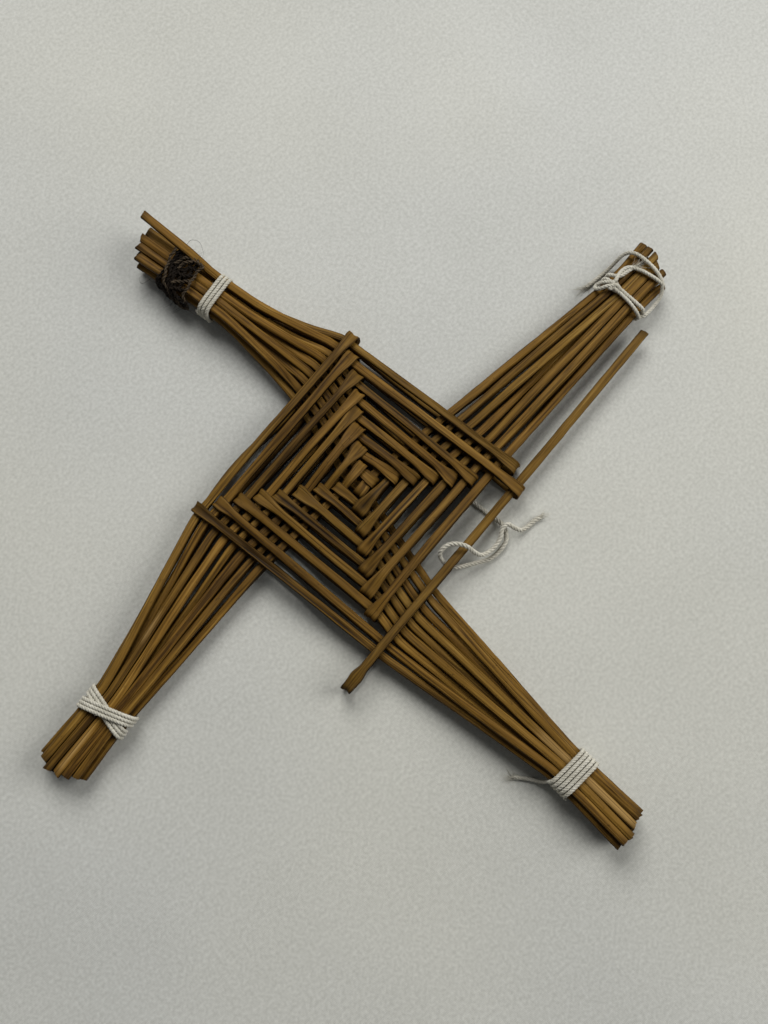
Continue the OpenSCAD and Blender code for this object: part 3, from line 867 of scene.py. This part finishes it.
# shape of a rush along its length: widths in millimetres, bend crushed and flared like a fishtail
rushShape = dict(
    halfW=1.3, fuller=0.04, girth=(0.9, 1.06),
    flare=2.08, flareVary=0.3, flareRun=7.5, flareRunVary=2.0, flarePower=1.4,
    foldHalf=4.4, crushHalfT=0.42, crushRun=6.5, skew=0.35, fishtail=0.46, fishtailSink=0.35,
    crinkle=0.3, crinkleAcross=1.6, crinkleStep=4.4, crinkleRun=0.05,
    flute=0.1, fluteRound=2.2, fluteStep=5.1, fluteRun=0.006,
    lump=0.08, dent=0.6, dentFrom=0.02, dentWide=0.4, dentTurn=(-2.3, -0.8), roll=0.3,
    # some of these darken the rush as painted shade: at its sides, in the weave, by the loose rush's bend
    # and at the cut ends
    sideShadePainted=0.5, wovenSideShadePainted=0.28, sideShadeFrom=0.7, sideShadeRun=0.3, edgeWear=0.07, wearApart=2.0,
    weaveShadePainted=0.2, weaveRun=48.0, weaveFade=16.0, square=3.4, roundEnd=2.8,
    kink=0.3, kinkAt=7.6, kinkRun=2.3, kinkShadePainted=0.5, scuffFrom=2.0, scuffRun=7.0,
    splitWide=0.16, splitIn=4.0, splitOut=8.0, splitDeep=0.5, splitDark=0.9, bareFade=5.0,
    slant=0.6, endZone=1.5, endRough=0.2, endGrain=1.5, endShadePainted=0.5, endShadeRun=0.9,
)
# noise along a rush: how fast it changes, how far apart two rushes are in it, layer
rushNoise = dict(
    lump=(0.06, 1.9, 0.7), dent=(0.03, 2.3, 4.0), wear=(0.3, 6.1, 1.5), roll=(0.025, 1.3, 8.0)
)
farOff = 1e4  # for a rush with no bend or bare strip
# bends that are narrower or wider than the rest, half widths
flareSet = {
    "looseRush": 1.68, "topRush8": 1.8, "topRush7": 1.95, "bottomRush8": 1.8, "bottomRush7": 2.0,
    "rightRush1": 1.75, "topRush1": 1.9, "leftRush1": 1.8, "bottomRush1": 1.65, "topRush2": 1.9,
    "rightRush7": 2.0, "leftRush8": 1.95,
}
# lengthwise splits seen in the weave: turn on the rush, from and to, measured from its bend
splitSet = {
    "bottomRush8": [(-1.7, 3, 44), (-1.35, 20, 70)],
    "bottomRush4": [(-1.5, 2, 30)],
    "bottomRush2": [(-1.45, 1, 26)],
    "rightRush4": [(-1.6, 4, 34)],
    "rightRush2": [(-1.5, 1, 22)],
    "topRush6": [(-1.4, 10, 60)],
}
# strips where the skin is off and the pith shows: turn, from, to, half width as a turn
bareSet = {
    "leftRush6": (-1.4, 97, 111, 0.35),
    "leftRush5": (-1.5, 132, 152, 0.4),
    "bottomRush3": (-1.6, 104, 150, 0.8),
}
# rushes that are plainly lighter or darker than chance would make them
toneSet = {"topRush7": 0.8, "bottomRush3": 0.85, "leftRush8": 0.6, "topRush8": 0.55, "looseRush": 0.55}


def noiseAlong(name, s, seed, shift=0.0):
    run, step, layer = rushNoise[name]
    return noise.noise(Vector((s * run, seed * step + shift, layer)))


def shapeRush(piece, total, bendAt, seed, halfW, halfT):
    made = rushShape
    rng = random.Random(seed)
    flare = flareSet.get(piece.name, made["flare"] + rng.uniform(-made["flareVary"], made["flareVary"]))
    flareRun = made["flareRun"] + rng.uniform(-made["flareRunVary"], made["flareRunVary"])
    girth = rng.uniform(*made["girth"])
    skew = rng.uniform(-made["skew"], made["skew"])
    dentTurn = rng.uniform(*made["dentTurn"])
    slants = [rng.uniform(-made["slant"], made["slant"]) for _ in range(2)]
    toneValue = toneSet.get(piece.name, rng.random())
    kink = made["kink"] if piece.name == "looseRush" else 0.0
    splits = splitSet.get(piece.name, [])
    bareTurn, bareFrom, bareTo, bareHalf = bareSet.get(piece.name, (0, farOff, farOff, 1))
    bends, darks, bares = [], [], []
    mesh = piece.data
    for vertex in mesh.vertices:
        x, y, z = vertex.co
        s = x * total
        turn = atan2(z, y)
        fromBend = abs(s - bendAt)
        fromFold = fromBend - made["foldHalf"]
        isFront = s > bendAt
        wide = min(max(1 - fromFold / flareRun, 0), 1) ** made["flarePower"]
        crush = eased(1 - fromFold / made["crushRun"])
        w = blendTo(halfW(s) * girth, flare, wide)
        w *= 1 + kink * exp(-((fromBend - made["kinkAt"]) / made["kinkRun"]) ** 2)
        t = blendTo(halfT, made["crushHalfT"], crush)
        around = [made["fluteRound"] * cos(turn), made["fluteRound"] * sin(turn)]
        fluted = noise.noise(Vector((*around, seed * made["fluteStep"] + s * made["fluteRun"])))
        lump = 1 + made["flute"] * fluted + made["lump"] * noiseAlong("lump", s, seed)
        dent = max(0.0, noiseAlong("dent", s, seed) - made["dentFrom"])
        dent *= nearTurn(turn, dentTurn, made["dentWide"]) * (1 - crush)
        split = 0.0
        for splitTurn, splitFrom, splitTo in splits if isFront else ():
            inRun = eased((fromBend - splitFrom) / made["splitIn"])
            inRun *= eased((splitTo - fromBend) / made["splitOut"])
            split = max(split, inRun * nearTurn(turn, splitTurn, made["splitWide"]))
        woven = eased((made["weaveRun"] + made["weaveFade"] - fromBend) / made["weaveFade"])
        power = 2 / blendTo(made["roundEnd"], made["square"], woven)
        y, z = powered(y, power), powered(z, power)
        worn = noiseAlong("wear", s, seed, copysign(made["wearApart"], y))
        y *= w * lump * (1 + made["edgeWear"] * worn)
        z *= t * lump * (1 - made["dent"] * dent - made["splitDeep"] * split)
        roll = made["roll"] * noiseAlong("roll", s, seed) * (1 - crush)
        y, z = y * cos(roll) - z * sin(roll), y * sin(roll) + z * cos(roll)
        if crush > 0:
            # corners of the crushed bend stand out, its skin is creased lengthwise
            share = y / flare
            outer = 1 if z < 0 else -1
            z -= crush * made["fishtail"] * (share * share + skew * share - made["fishtailSink"])
            place = (y * made["crinkleAcross"], seed * made["crinkleStep"], s * made["crinkleRun"])
            z -= outer * crush * made["crinkle"] * noise.noise(Vector(place))
        end = 0 if s < made["endZone"] else 1 if total - s < made["endZone"] else None
        if end is not None:
            rough = noise.noise(Vector((y * made["endGrain"], z * made["endGrain"], seed)))
            s += slants[end] * y / w + made["endRough"] * rough
        vertex.co = (s * mm, y * mm, z * mm)
        bends.append(eased(1 - (fromBend - made["scuffFrom"]) / made["scuffRun"]))
        inRun = eased((fromBend - bareFrom) / made["bareFade"])
        inRun *= eased((bareTo - fromBend) / made["bareFade"])
        bares.append(inRun * nearTurn(turn, bareTurn, bareHalf) if isFront else 0.0)
        # painted shade: each rush darker towards its sides, more so in the weave, for the shade in the gaps
        # between rushes
        paintedSideShade = eased((abs(cos(turn)) - made["sideShadeFrom"]) / made["sideShadeRun"])
        paintedSideShade *= made["sideShadePainted"] + made["wovenSideShadePainted"] * woven * (1 - crush)
        # painted shade where the rushes lie in the weave
        paintedShade = made["weaveShadePainted"] * woven
        # painted shade on the loose rush next to its bend
        if kink:
            paintedShade += made["kinkShadePainted"] * eased(1 - fromBend / made["kinkAt"])
        # painted shade at the cut ends
        atEnd = made["endShadePainted"] * eased(1 - min(s, total - s) / made["endShadeRun"])
        darks.append(min(1.0, max(made["splitDark"] * split, paintedSideShade) + paintedShade + atEnd))
    # the Dark attribute holds the painted shade, together with the dark splits
    tones = [toneValue] * len(bends)
    for name, values in (("Tone", tones), ("Bend", bends), ("Dark", darks), ("Bare", bares)):
        mesh.attributes.new("rush" + name, "FLOAT", "POINT").data.foreach_set("value", values)


def makeRush(name, points, bendAt, seed, halfW, halfT):
    piece = copyOf(rushStock, name)
    shapeRush(piece, lengthOf(points) / mm, bendAt, seed, halfW, halfT)
    layAlong(piece, points)
    return piece


# one line for a hairpin: back half, fold and front half, and how far along it the fold is
def hairpin(a, fold, halves):
    back = [onArm(a, p) for p in reversed(halves[0])]
    bend = [onArm(a, p) for p in fold[1:-1]]
    front = [onArm(a, p) for p in halves[1]]
    bendAt = (lengthOf(back) + lengthOf([back[-1]] + bend + [front[0]]) / 2) / mm
    return back + bend + front, bendAt


def makeWovenRush(a, k):
    seed = 10 * a + k  # one of its own for each rush
    x, y = -farthestWrapped(a, k), -bendLane(a, k) - strayed(a, k)
    run = foldRun + (weave["travelGap"] if a == top and k == weave["holdingRush"] else 0)
    fold = foldStops(x, y, run, foldRise)
    halves = []
    for side, start in ((-1, fold[0]), (1, fold[-1])):
        line = softLine([start] + wovenHalf(a, k, side))
        halves.append(swayed(line, seed + lineSet["swayApart"] * side))
    halfT = rushHalfT + rushShape["fuller"]
    piece = makeRush(
        f"{armNames[a]}Rush{k}", *hairpin(a, fold, halves), seed, lambda s: rushShape["halfW"], halfT
    )
    setOn(piece, "cross", "rush", f"{armNames[a]}_rush_{k}")


for a in (right, top, left, bottom):
    for k in range(1, weave["count"][a] + 1):
        makeWovenRush(a, k)
print("woven rushes laid")


# the one straight rush through the middle
coreSet = dict(seed=77, swell=0.75, swellRun=6.0)


def coreStops(a, tip):
    y = weave["coreExitStep"][a] - exitLane(a, 1)
    stops = [(lane((a + 1) % 4, 1) + weave["hold"], 0, 0), (exitReach(a), y, 0)]
    return stops + bundleStops(a, y, (arms["coreSlot"], 0), tip, False)


def makeCoreRush():
    lowStops = [(-x, -y, z) for x, y, z in reversed(coreStops(bottom, arms["coreTips"][1]))]
    stops = lowStops + coreStops(top, arms["coreTips"][0])
    middleAt = lengthOf(softLine(lowStops + [(0, 0, 0)]))

    def halfW(s):
        return rushShape["halfW"] + coreSet["swell"] * exp(-((s - middleAt) / coreSet["swellRun"]) ** 2)

    points = [onArm(top, p) for p in softLine(stops)]
    piece = makeRush("coreRush", points, -farOff, coreSet["seed"], halfW, rushHalfT)
    setOn(piece, "cross", "rush", "core_rush")


# the rush that was never pulled tight slides in its one bend
looseSet = dict(
    halfW=1.35, halfT=0.85, foldReach=48.0, closeRun=5.0, endReach=97.0, endSkew=3.0, seed=91
)


def makeLooseRush():
    gap = weave["travelGap"]
    lowZ = looseSet["halfT"] + weave["airGap"] / 2
    highZ = zLow + rushHalfT + gap + looseSet["halfT"]
    highEnd = rushHalfW + 2 * gap
    run = looseSet["halfW"] + gap + weave["foldThick"] / 2
    rise = zLow + rushHalfT + gap + weave["foldThick"] / 2
    foldAt = -looseSet["foldReach"]
    fold = foldStops(foldAt, -looseLane, run, rise)
    halves = []
    for side, start in ((-1, fold[0]), (1, fold[-1])):
        end = looseSet["endReach"] - (0 if side > 0 else looseSet["endSkew"])
        bends = (
            (foldAt + weave["foldLead"], highZ), (highEnd, highZ),
            (highEnd + looseSet["closeRun"], lowZ), (end, lowZ),
        )
        halves.append(softLine([start] + [(x, -looseLane, side * z) for x, z in bends]))
    piece = makeRush(
        "looseRush", *hairpin(right, fold, halves), looseSet["seed"],
        lambda s: looseSet["halfW"], looseSet["halfT"],
    )
    setOn(piece, "loose", "loose_rush", "loose_rush")


makeCoreRush()
makeLooseRush()
drop(rushStock)
print("core and loose rush laid")

# the ties: cotton twine wound on the bundles, in each tie's own frame (along, across, up)
tieSet = dict(
    cadTwine=0.9, cadWool=1.0, gap=0.22, corner=0.4, woolCorner=0.75, perTurn=24,
    step=1.4, ply=0.38, offset=0.29, pitch=3.0, plyCount=3,
    start=180, tableGap=0.05, lineStep=0.36, passes=6, between=6, topTurns=3.5, bottomTurns=5,
    fuzzEach=6, fuzzHair=(1.1, 0.6), frayCount=46, fraySpread=0.5, frayHair=(4.6, 0.5), hair=0.065,
)


def bundleHalfW(a):
    return arms["tieWide"][a] * slotWide + tiedHalfW


def roundBundle(a, thick):
    clear = tieSet["gap"] + thick / 2
    return bundleHalfW(a) + clear, bundleTop(a) + clear


def turnPoint(turn, x, box, n):
    return (x, box[0] * powered(cos(turn), n), box[1] * powered(sin(turn), n))


def plainWinding(a, turns, way, step=tieSet["step"], shift=0.0):
    box = roundBundle(a, tieSet["cadTwine"])
    out = []
    for i in range(round(turns * tieSet["perTurn"]) + 1):
        t = i / tieSet["perTurn"]
        turn = radians(tieSet["start"] + way * 360 * t)
        out.append(turnPoint(turn, shift + (t - turns / 2) * step, box, tieSet["corner"]))
    return out


def lying(a, points):
    down = tieSet["cadTwine"] / 2 + tieSet["tableGap"] - midZ - tieLift(a)
    return [(x, y, share * down) for x, y, share in points]


def onTie(a, point):
    x, y = tied(a, point[0], point[1] - arms["tieMiddle"][a] * slotWide)
    return onArm(a, (x, y, point[2] + tieLift(a)))


def twineLines(a, routes):
    lines = [evenSteps([onTie(a, p) for p in route], tieSet["lineStep"] * mm) for route in routes]
    return [softened(line, tieSet["passes"]) for line in lines]


# a hair for every few steps of the lines
def fuzzOn(rng, lines, made):
    places = []
    for line in lines:
        places += fuzzPlaces(rng, line, len(line) // made["fuzzEach"])
    return hairs(rng, places, *made["fuzzHair"])


def makeTie(a, routes, node, seed, frayAt=()):
    rng = random.Random(seed)
    lines = twineLines(a, routes)
    piece = strands(f"{armNames[a]}Tie", twisted(lines, tieSet), tieSet["ply"], cottonTwine)
    loose = fuzzOn(rng, lines, tieSet)
    for route, atEnd in frayAt:
        line = lines[route] if atEnd else lines[route][::-1]
        ends = frayPlaces(rng, line, tieSet)
        loose += hairs(rng, ends, *tieSet["frayHair"])
    joined(piece, strands("fuzz", loose, tieSet["hair"], cottonTwine, 0, True))
    setOn(piece, "cross", "twine", node)


# top: a plain band
makeTie(top, [plainWinding(top, tieSet["topTurns"], 1)], "top_tie", 21)

# bottom: turns side by side, led in by a frayed tail on the table
bottomTail = ((-11, -13, 1), (-8.5, -11, 1), (-6, -9.3, 0.95), (-4.2, -7.9, 0.6))
bottomRoute = lying(bottom, bottomTail) + plainWinding(bottom, tieSet["bottomTurns"], -1)
makeTie(bottom, [bottomRoute], "bottom_tie", 22, frayAt=[(0, False)])


# left: over the front the turns lean one way and then the other
leftSet = dict(pairs=3, turns=5.5, lean=2.3, lift=1.4, step=1.25)


def bowPoint(i):
    per = tieSet["perTurn"]
    box = roundBundle(left, tieSet["cadTwine"])
    turn = tau * i / per
    pair, odd = divmod(i // per, 2)
    way = -1 if odd else 1
    side = powered(cos(turn), tieSet["corner"])
    behind = sin(turn) < -0.001
    lift = leftSet["lift"] * (1 - side * side) if odd and not behind else 0.0
    shift = (pair - (leftSet["pairs"] - 1) / 2) * leftSet["step"]
    creep = leftSet["step"] * (1 + side) / 2 if behind and odd else 0.0
    lean = -way if behind else way * side
    return (
        shift + creep + lean * leftSet["lean"],
        side * box[0],
        box[1] * powered(sin(turn), tieSet["corner"]) + lift,
    )


leftRoute = [bowPoint(i) for i in range(int(leftSet["turns"] * tieSet["perTurn"]) + 1)]
makeTie(left, [leftRoute], "left_tie", 23)

# right: a tail on the table, a slack loop over the cut ends, loose turns, a knot and a free end
overBundle = bundleTop(right) + tieSet["cadTwine"]


def riding(points):
    return [(x, y, share * overBundle) for x, y, share in points]


rightSet = dict(
    tail=((-7.5, 11, 1), (-3.5, 10.6, 1), (0, 10.2, 1), (3.2, 9.7, 0.6)),
    loop=(
        (5.6, 9.4, 0.05), (7.6, 8.6, 0.5), (8.6, 6.4, 0.9), (8.9, 3, 1.06), (8.7, -2, 1.06),
        (7.4, -6, 0.98), (4.6, -8.8, 0.4), (0, -9.4, 0.1), (-3.6, -9.3, 0.05),
    ),
    freeEnd=((-0.8, 4.6, 1.12), (2.4, 4, 1.05), (5.2, 3.2, 1.02)),
    secondArc=(
        (-3.4, 4.4, 1.3), (0, 5.4, 1.15), (3.4, 4.6, 1.12),
        (5.6, 0.5, 1.05), (6.6, -4.6, 1.05), (7, -7.4, 0.8),
    ),
    besideKnot=((-5.2, 3.8, 1.2), (-4.9, 0, 1.05), (-5.2, -4, 1.05), (-5.6, -7.4, 0.75), (-5.6, -8.6, 0.2)),
    smallLoop=(
        (-4.4, 3.6, 1.3), (-6.4, 5.4, 1.2), (-8.2, 7, 0.7),
        (-7.4, 8.6, 0.2), (-5.4, 7.6, 0.6), (-4, 4.6, 1.25),
    ),
    knotAt=(-4.6, 3.6, 4.6), knotSize=0.62, knotDeep=1.1, knotSteps=48, knotDrawn=45,
    turns=1.625, step=2, shift=-3.5,
)


def knotRoute():
    ax, ay, az = rightSet["knotAt"]
    size = rightSet["knotSize"]
    out = []
    for i in range(rightSet["knotDrawn"]):
        t = tau * i / rightSet["knotSteps"]
        out.append((
            ax + size * (sin(t) + 2 * sin(2 * t)),
            ay + size * (cos(t) - 2 * cos(2 * t)),
            az - size * rightSet["knotDeep"] * sin(3 * t),
        ))
    return out


def curved(points):
    return [tuple(p) for p in throughPoints([Vector(p) for p in points], tieSet["between"])]


rightWound = plainWinding(right, rightSet["turns"], 1, rightSet["step"], rightSet["shift"])
rightMain = curved(
    lying(right, rightSet["tail"]) + riding(rightSet["loop"]) + rightWound + riding(rightSet["freeEnd"])
)
rightExtra = [curved(riding(rightSet[name])) for name in ("secondArc", "besideKnot", "smallLoop")]
makeTie(right, [rightMain, *rightExtra, knotRoute()], "right_tie", 24, frayAt=[(0, False), (0, True)])
print("ties wound")

# dark wool: turns round the top bundle, loose strands over its front, and fuzz
woolSet = dict(
    turns=5, along=14.0, spread=1.08, tuckIn=0.8, start=60, step=1.6, ply=0.32, offset=0.28, pitch=2.8,
    plyCount=2, wander=1.6, wanderRun=0.13, wanderLayer=2.0, wanderRise=0.4,
    loopStep=0.4, between=8, rise=1.0, dome=5, sideAt=7.9, wave=0.3, waveRun=4.2, phases=6,
    heave=0.35, heaveRate=0.5, overPly=0.25, overRise=0.55, overCount=5,
    seed=31, fuzzEach=2, fuzzHair=(2.8, 0.9), hair=0.06,
    loops=(
        ((18.5, -4.6), (18.3, -2.9), (18.0, -0.3), (16.9, 2.0), (15.9, 4.6), (14.8, 6.6), (12.4, 7.9),
         (9.6, 8.5), (6.8, 8.7), (4.8, 8.3)),
        ((16.6, -5.0), (13.5, -5.2), (10.5, -5.0), (7.8, -4.6), (8.1, -3.2), (8.2, -0.7), (7.6, 1.7),
         (7.4, 4.7), (7.2, 6.8), (6.0, 7.9)),
        ((15.5, -0.1), (15.2, -2.0), (13.8, -4.1), (12.1, -5.0), (9.7, -5.0)),
        ((14.1, 0.4), (13.5, -1.7), (12.1, -3.8), (10.0, -4.6), (8.0, -4.4)),
        ((12.3, 5.6), (11.4, 3.6), (9.5, 2.8), (8.2, 1.3)),
        ((17.3, -4.8), (17.1, -3.1), (16.6, -0.3), (15.4, 2.1), (14.5, 4.6), (13.2, 6.5), (10.9, 7.8),
         (8.4, 8.3), (5.8, 8.2)),
        ((16.0, -3.6), (15.4, -0.6), (14.0, 2.4), (13.0, 4.8), (11.6, 6.6), (9.4, 7.6), (6.8, 7.8)),
        ((14.4, 3.5), (13.3, 1.7), (11.2, 1.2), (9.3, 0.5), (8.4, -0.9)),
        ((11.9, 7.2), (10.9, 5.5), (8.8, 5.6), (7.8, 4.3)),
        ((12.8, 0.2), (11.6, -1.4), (10.2, -2.4), (8.8, -2.6)),
        ((18.6, -3.8), (16.5, -4.3), (15.1, -5.0), (11.9, -5.0)),
        ((15.6, 7.4), (12.8, 8.2), (9.6, 8.6), (6.6, 8.2), (5.6, 7.4)),
    ),
    strays=(
        ((17.0, -7.2, 4), (16.6, -9.6, 5), (14.0, -10.6, 5), (11.6, -9.0, 3), (11.0, -7.0, 2)),
        ((21.0, 7.0, 0), (23.4, 9.4, -3), (25.6, 8.6, -4), (25.0, 6.4, -3)),
    ),
)


def woolRoutes(rng):
    made = woolSet
    cad = tieSet["cadWool"]
    clear = tieSet["gap"] + cad / 2
    box = (bundleHalfW(top) * made["spread"] + clear, bundleTop(top) + clear)
    wound = []
    for i in range(made["turns"] * tieSet["perTurn"] + 1):
        t = i / tieSet["perTurn"]
        turn = radians(made["start"] + 360 * t)
        inFront = sin(turn) > 0 and cos(turn) < 0
        n = tieSet["woolCorner"] if inFront else tieSet["corner"]
        x, y, z = turnPoint(turn, made["along"] + (t - made["turns"] / 2) * made["step"], box, n)
        place = Vector((i * made["wanderRun"], made["wanderLayer"], 0.0))
        stray = made["wander"] * noise.noise(place)
        y *= 1 if y > 0 else made["tuckIn"]
        wound.append((x + stray, y, z + made["wanderRise"] * abs(stray)))
    routes = [wound]
    for n, loop in enumerate(made["loops"]):
        stops = [Vector((x, y, 0)) for x, y in loop]
        rise = made["overRise"] if n < made["overCount"] else 0.0
        line = evenSteps(throughPoints(stops, made["between"]), made["loopStep"])
        phase = rng.uniform(0, made["phases"])
        row = []
        for i, p in enumerate(line):
            ahead = (line[min(i + 1, len(line) - 1)] - line[max(i - 1, 0)]).normalized()
            f = phase + tau * i * made["loopStep"] / made["waveRun"]
            sway = made["wave"] * sin(f)
            share = min(abs(p.y) / made["sideAt"], 1.0)
            up = (bundleTop(top) + made["rise"]) * (1 - share ** made["dome"]) ** (1 / made["dome"])
            up += made["heave"] * cos(f * made["heaveRate"])
            row.append((p.x - ahead.y * sway, p.y + ahead.x * sway, up + rise))
        routes.append(row)
    return routes


def makeWool():
    made = woolSet
    rng = random.Random(made["seed"])
    lines = twineLines(top, woolRoutes(rng))
    over = slice(1, 1 + made["overCount"])
    under = lines[:1] + lines[over.stop:]
    # strands underneath in the copy with painted shade, strands on top in the copy painted lighter as lit
    piece = strands("darkShadedWool", twisted(under, made), made["ply"], darkShadedWool)
    joined(piece, strands("overWool", twisted(lines[over], made), made["overPly"], paintedLitWool))
    loose = fuzzOn(rng, lines, made)
    for stray in made["strays"]:
        loose.append(throughPoints([onTie(top, p) for p in stray], tieSet["between"]))
    joined(piece, strands("fuzz", loose, made["hair"], darkShadedWool, 0, True))
    setOn(piece, "cross", "wool", "dark_yarn")


makeWool()
print("wool wound")
